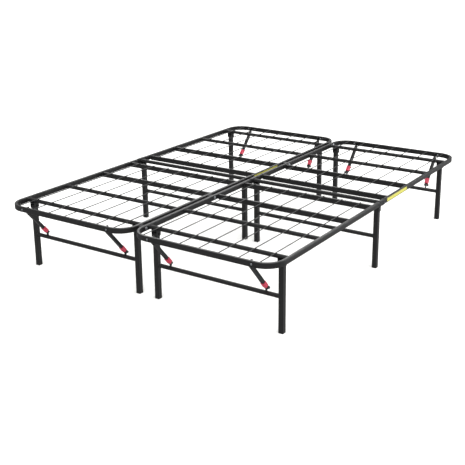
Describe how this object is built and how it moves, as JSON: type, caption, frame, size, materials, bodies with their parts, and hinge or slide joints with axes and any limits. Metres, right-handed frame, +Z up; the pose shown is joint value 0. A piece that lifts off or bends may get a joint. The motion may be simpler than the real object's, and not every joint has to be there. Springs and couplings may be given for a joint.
{
  "type": "folding metal bed frame",
  "caption": "Black steel platform bed frame in two halves that fold at mid length, with wire and bar deck, folding leg frames, braces and red slide locks.",
  "frame": {"origin": "on the floor under the middle of the frame", "axes": "+X across the bed, +Y along its length from the foot end to the head end, +Z up"},
  "size_m": [1.529, 2.037, 0.356],
  "materials": {
    "black_steel": "black powder coat, satin",
    "zinc_steel": "zinc plated",
    "red_plastic": "moulded, satin",
    "black_plastic": "moulded, matt",
    "yellow_label": "blank printed film"
  },
  "bodies": {
    "foot_section": {"foot_rail_left": "black_steel", "foot_rail_right": "black_steel", "foot_slats": "black_steel", "foot_wires": "black_steel", "foot_leg_brackets": "black_steel", "foot_brace_brackets": "black_steel", "foot_leg_bolts": "black_steel", "foot_brace_pins": "black_steel", "foot_bracket_screws": "zinc_steel", "foot_fold_bolts": "black_steel", "foot_spacers": "black_plastic", "foot_joining_bolts": "zinc_steel"},
    "centre": {"fold_links_left": "black_steel", "fold_links_right": "black_steel", "centre_slats": "black_steel", "centre_leg_frame_left": "black_steel", "centre_leg_frame_right": "black_steel", "centre_foot_caps": "black_plastic", "centre_rivets": "black_steel"},
    "head_section": {"head_rail_left": "black_steel", "head_rail_right": "black_steel", "head_slats": "black_steel", "head_wires": "black_steel", "head_leg_brackets": "black_steel", "head_brace_brackets": "black_steel", "head_leg_bolts": "black_steel", "head_brace_pins": "black_steel", "head_bracket_screws": "zinc_steel", "head_fold_bolts": "black_steel", "head_spacers": "black_plastic", "head_joining_bolts": "zinc_steel", "head_labels": "yellow_label"},
    "foot_legs_left": {"foot_leg_frame_left": "black_steel", "foot_caps_left": "black_plastic", "foot_knobs_left": "black_plastic"},
    "foot_legs_right": {"foot_leg_frame_right": "black_steel", "foot_caps_right": "black_plastic", "foot_knobs_right": "black_plastic"},
    "foot_brace_left_outer": {"foot_brace_left_outer": "black_steel"},
    "foot_lock_left_outer": {"foot_lock_left_outer": "red_plastic"},
    "foot_brace_left_inner": {"foot_brace_left_inner": "black_steel"},
    "foot_lock_left_inner": {"foot_lock_left_inner": "red_plastic"},
    "foot_brace_right_outer": {"foot_brace_right_outer": "black_steel"},
    "foot_lock_right_outer": {"foot_lock_right_outer": "red_plastic"},
    "foot_brace_right_inner": {"foot_brace_right_inner": "black_steel"},
    "foot_lock_right_inner": {"foot_lock_right_inner": "red_plastic"},
    "head_legs_left": {"head_leg_frame_left": "black_steel", "head_caps_left": "black_plastic", "head_knobs_left": "black_plastic"},
    "head_legs_right": {"head_leg_frame_right": "black_steel", "head_caps_right": "black_plastic", "head_knobs_right": "black_plastic"},
    "head_brace_left_outer": {"head_brace_left_outer": "black_steel"},
    "head_lock_left_outer": {"head_lock_left_outer": "red_plastic"},
    "head_brace_left_inner": {"head_brace_left_inner": "black_steel"},
    "head_lock_left_inner": {"head_lock_left_inner": "red_plastic"},
    "head_brace_right_outer": {"head_brace_right_outer": "black_steel"},
    "head_lock_right_outer": {"head_lock_right_outer": "red_plastic"},
    "head_brace_right_inner": {"head_brace_right_inner": "black_steel"},
    "head_lock_right_inner": {"head_lock_right_inner": "red_plastic"}
  },
  "joints": [
    {"name": "foot_fold", "type": "hinge", "parent": "foot_section", "child": "centre", "pos_m": [0, -0.0415, 0.343], "axis": [-1, 0, 0], "range_deg": [0, 90]},
    {"name": "head_fold", "type": "hinge", "parent": "centre", "child": "head_section", "pos_m": [0, 0.0415, 0.343], "axis": [-1, 0, 0], "range_deg": [0, 90]},
    {"name": "foot_legs_left_fold", "type": "hinge", "parent": "foot_section", "child": "foot_legs_left", "pos_m": [-0.386, -0.875, 0.316], "axis": [1, 0, 0], "range_deg": [0, 90]},
    {"name": "foot_legs_right_fold", "type": "hinge", "parent": "foot_section", "child": "foot_legs_right", "pos_m": [0.386, -0.875, 0.316], "axis": [1, 0, 0], "range_deg": [0, 90]},
    {"name": "foot_brace_left_outer_swing", "type": "hinge", "parent": "foot_section", "child": "foot_brace_left_outer", "pos_m": [-0.639, -0.991, 0.324], "axis": [1, 0, 0], "range_deg": [0, 47.2]},
    {"name": "foot_lock_left_outer_slide", "type": "slide", "parent": "foot_brace_left_outer", "child": "foot_lock_left_outer", "axis": [0, -0.6573, 0.7536], "range_m": [0, 0.025]},
    {"name": "foot_brace_left_inner_swing", "type": "hinge", "parent": "foot_section", "child": "foot_brace_left_inner", "pos_m": [-0.133, -0.991, 0.324], "axis": [1, 0, 0], "range_deg": [0, 47.2]},
    {"name": "foot_lock_left_inner_slide", "type": "slide", "parent": "foot_brace_left_inner", "child": "foot_lock_left_inner", "axis": [0, -0.6573, 0.7536], "range_m": [0, 0.025]},
    {"name": "foot_brace_right_outer_swing", "type": "hinge", "parent": "foot_section", "child": "foot_brace_right_outer", "pos_m": [0.639, -0.991, 0.324], "axis": [1, 0, 0], "range_deg": [0, 47.2]},
    {"name": "foot_lock_right_outer_slide", "type": "slide", "parent": "foot_brace_right_outer", "child": "foot_lock_right_outer", "axis": [0, -0.6573, 0.7536], "range_m": [0, 0.025]},
    {"name": "foot_brace_right_inner_swing", "type": "hinge", "parent": "foot_section", "child": "foot_brace_right_inner", "pos_m": [0.133, -0.991, 0.324], "axis": [1, 0, 0], "range_deg": [0, 47.2]},
    {"name": "foot_lock_right_inner_slide", "type": "slide", "parent": "foot_brace_right_inner", "child": "foot_lock_right_inner", "axis": [0, -0.6573, 0.7536], "range_m": [0, 0.025]},
    {"name": "head_legs_left_fold", "type": "hinge", "parent": "head_section", "child": "head_legs_left", "pos_m": [-0.386, 0.875, 0.316], "axis": [-1, 0, 0], "range_deg": [0, 90]},
    {"name": "head_legs_right_fold", "type": "hinge", "parent": "head_section", "child": "head_legs_right", "pos_m": [0.386, 0.875, 0.316], "axis": [-1, 0, 0], "range_deg": [0, 90]},
    {"name": "head_brace_left_outer_swing", "type": "hinge", "parent": "head_section", "child": "head_brace_left_outer", "pos_m": [-0.639, 0.991, 0.324], "axis": [-1, 0, 0], "range_deg": [0, 47.2]},
    {"name": "head_lock_left_outer_slide", "type": "slide", "parent": "head_brace_left_outer", "child": "head_lock_left_outer", "axis": [0, 0.6573, 0.7536], "range_m": [0, 0.025]},
    {"name": "head_brace_left_inner_swing", "type": "hinge", "parent": "head_section", "child": "head_brace_left_inner", "pos_m": [-0.133, 0.991, 0.324], "axis": [-1, 0, 0], "range_deg": [0, 47.2]},
    {"name": "head_lock_left_inner_slide", "type": "slide", "parent": "head_brace_left_inner", "child": "head_lock_left_inner", "axis": [0, 0.6573, 0.7536], "range_m": [0, 0.025]},
    {"name": "head_brace_right_outer_swing", "type": "hinge", "parent": "head_section", "child": "head_brace_right_outer", "pos_m": [0.639, 0.991, 0.324], "axis": [-1, 0, 0], "range_deg": [0, 47.2]},
    {"name": "head_lock_right_outer_slide", "type": "slide", "parent": "head_brace_right_outer", "child": "head_lock_right_outer", "axis": [0, 0.6573, 0.7536], "range_m": [0, 0.025]},
    {"name": "head_brace_right_inner_swing", "type": "hinge", "parent": "head_section", "child": "head_brace_right_inner", "pos_m": [0.133, 0.991, 0.324], "axis": [-1, 0, 0], "range_deg": [0, 47.2]},
    {"name": "head_lock_right_inner_slide", "type": "slide", "parent": "head_brace_right_inner", "child": "head_lock_right_inner", "axis": [0, 0.6573, 0.7536], "range_m": [0, 0.025]}
  ],
  "couplings": [
    {"joint": "foot_brace_left_outer_swing", "follows": "foot_legs_left_fold", "ratio": 0.52},
    {"joint": "foot_brace_left_inner_swing", "follows": "foot_legs_left_fold", "ratio": 0.52},
    {"joint": "foot_brace_right_outer_swing", "follows": "foot_legs_right_fold", "ratio": 0.52},
    {"joint": "foot_brace_right_inner_swing", "follows": "foot_legs_right_fold", "ratio": 0.52},
    {"joint": "head_brace_left_outer_swing", "follows": "head_legs_left_fold", "ratio": 0.52},
    {"joint": "head_brace_left_inner_swing", "follows": "head_legs_left_fold", "ratio": 0.52},
    {"joint": "head_brace_right_outer_swing", "follows": "head_legs_right_fold", "ratio": 0.52},
    {"joint": "head_brace_right_inner_swing", "follows": "head_legs_right_fold", "ratio": 0.52}
  ]
}
